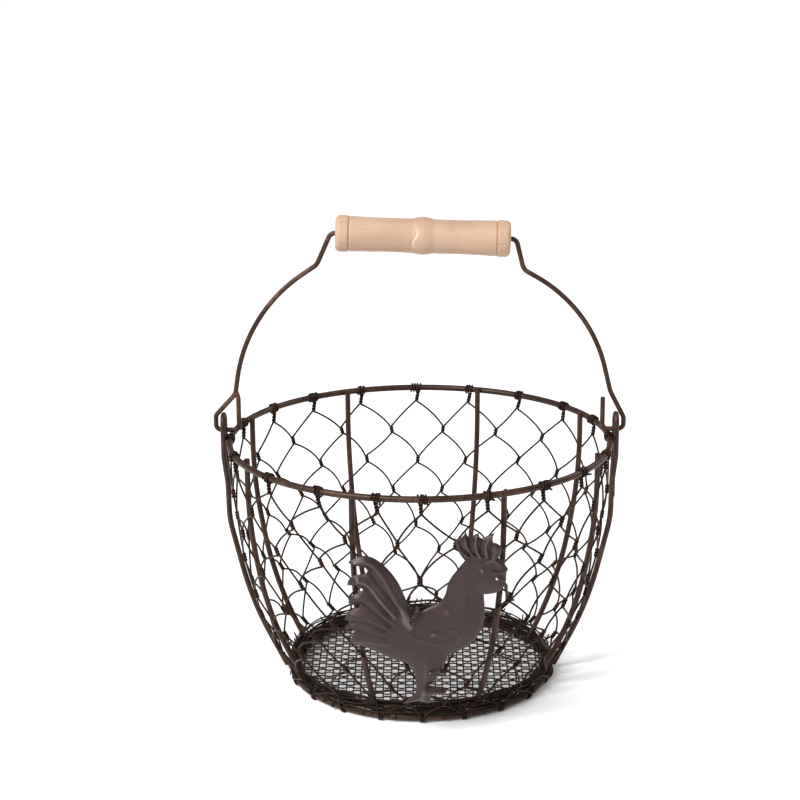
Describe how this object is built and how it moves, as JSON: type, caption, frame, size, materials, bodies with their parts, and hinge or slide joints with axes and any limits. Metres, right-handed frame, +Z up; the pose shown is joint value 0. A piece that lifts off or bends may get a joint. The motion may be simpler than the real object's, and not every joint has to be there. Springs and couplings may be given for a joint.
{
  "type": "wire egg basket",
  "caption": "Round brown wire egg basket with hexagonal netting, mesh floor, a sheet-metal rooster on the front and a swinging bail with a turned wooden grip.",
  "frame": {"origin": "on the table at the basket's own axis: the middle of the base ring, at the bottom of the wire turns that it stands on", "axes": "+Z up along the basket's axis, +X to the right ear, the rooster on the front faces -Y; the two ears and the bail's swing axis lie along X"},
  "size_m": [0.2224, 0.2114, 0.2566],
  "materials": {
    "frame_wire": "satin dark brown enamel on steel wire, slightly rough, with reddish brown where the coat is thin",
    "netting_wire": "satin dark brown enamel on thin twisted wire",
    "cloth_wire": "satin dark brown enamel on woven square mesh",
    "plaque_sheet": "satin grey-brown enamel on embossed sheet steel",
    "bail_wire": "satin reddish dark brown enamel on steel wire",
    "grip_wood": "pale turned wood with fine grain, light varnish"
  },
  "bodies": {
    "basket": {"rim_ring": "frame_wire", "base_ring": "frame_wire", "rib_front_right": "frame_wire", "rib_right_front": "frame_wire", "rib_right_back": "frame_wire", "rib_back_right": "frame_wire", "rib_back_left": "frame_wire", "rib_left_back": "frame_wire", "rib_left_front": "frame_wire", "rib_front_left": "frame_wire", "ear_right": "frame_wire", "ear_left": "frame_wire", "side_netting": "netting_wire", "rim_wraps": "netting_wire", "base_wraps": "netting_wire", "base_cloth": "cloth_wire", "rooster_plaque": "plaque_sheet", "tie_head": "netting_wire", "tie_back": "netting_wire", "tie_leg": "netting_wire"},
    "bail": {"bail_wire": "bail_wire"},
    "grip": {"grip": "grip_wood"}
  },
  "joints": [
    {"name": "bail_swing", "type": "hinge", "parent": "basket", "child": "bail", "pos_m": [0, 0, 0.1394], "axis": [1, 0, 0], "range_deg": [-85, 85]},
    {"name": "grip_spin", "type": "hinge", "parent": "bail", "child": "grip", "pos_m": [0.00205, 0, 0.24541], "axis": [0.9993, 0, -0.0368], "continuous": true}
  ]
}
